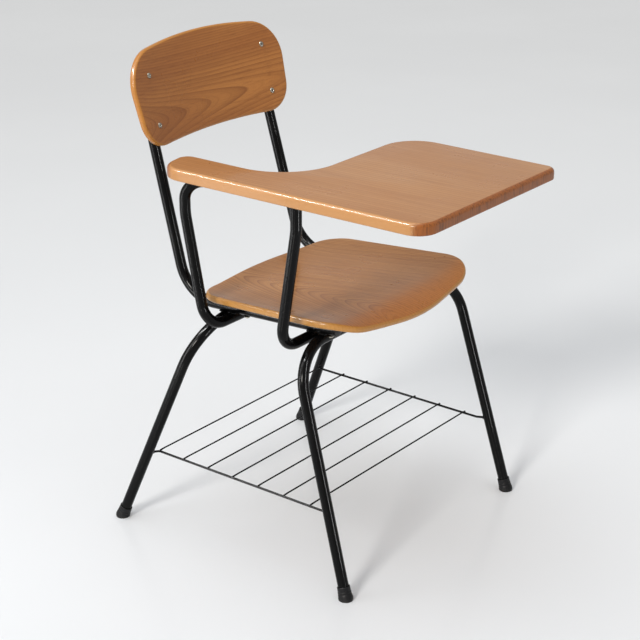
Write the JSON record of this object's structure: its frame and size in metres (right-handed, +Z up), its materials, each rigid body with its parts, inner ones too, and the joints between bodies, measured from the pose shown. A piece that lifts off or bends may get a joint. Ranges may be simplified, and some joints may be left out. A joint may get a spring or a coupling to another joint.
{
  "type": "tablet-arm student chair",
  "caption": "Student chair with a bent-plywood seat and back on a black tube frame, a fixed wooden writing tablet on the right arm and a wire book rack.",
  "frame": {"origin": "on the floor, under the middle of the chair's overall box", "axes": "+Z up, -Y is the way the sitter faces, -X is the sitter's right, where the tablet is"},
  "size_m": [0.5578, 0.687, 0.8543],
  "materials": {
    "seat_wood": "clear gloss varnish over beech-like plywood",
    "back_wood": "clear gloss varnish over beech-like plywood",
    "tablet_wood": "clear gloss varnish over beech-like board",
    "frame_enamel": "gloss black enamel",
    "rack_enamel": "gloss black enamel on wire",
    "tip_rubber": "satin black rubber",
    "plug_plastic": "moulded black plastic",
    "bright_nickel": "bright nickel plate"
  },
  "bodies": {
    "root": {"back_panel": "back_wood", "front_far_tablet_screw": "bright_nickel", "front_left_foot_tip": "tip_rubber", "front_left_seat_screw": "bright_nickel", "front_left_seat_washer": "bright_nickel", "front_leg_frame": "frame_enamel", "front_near_tablet_screw": "bright_nickel", "front_right_foot_tip": "tip_rubber", "front_right_seat_screw": "bright_nickel", "front_right_seat_washer": "bright_nickel", "front_tablet_plate": "frame_enamel", "front_tablet_post": "frame_enamel", "left_back_tube": "frame_enamel", "left_rail_plug": "plug_plastic", "left_upright_plug": "plug_plastic", "lower_left_back_rivet": "bright_nickel", "lower_right_back_rivet": "bright_nickel", "rack_left_rail": "rack_enamel", "rack_right_rail": "rack_enamel", "rack_wire_1": "rack_enamel", "rack_wire_2": "rack_enamel", "rack_wire_3": "rack_enamel", "rack_wire_4": "rack_enamel", "rack_wire_5": "rack_enamel", "rack_wire_6": "rack_enamel", "rack_wire_7": "rack_enamel", "rear_far_tablet_screw": "bright_nickel", "rear_left_foot_tip": "tip_rubber", "rear_left_seat_screw": "bright_nickel", "rear_left_seat_washer": "bright_nickel", "rear_leg_frame": "frame_enamel", "rear_near_tablet_screw": "bright_nickel", "rear_right_foot_tip": "tip_rubber", "rear_right_seat_screw": "bright_nickel", "rear_right_seat_washer": "bright_nickel", "rear_tablet_plate": "frame_enamel", "rear_tablet_post": "frame_enamel", "right_back_tube": "frame_enamel", "right_rail_plug": "plug_plastic", "right_upright_plug": "plug_plastic", "seat_panel": "seat_wood", "tablet_top": "tablet_wood", "upper_left_back_rivet": "bright_nickel", "upper_right_back_rivet": "bright_nickel"}
  },
  "joints": []
}
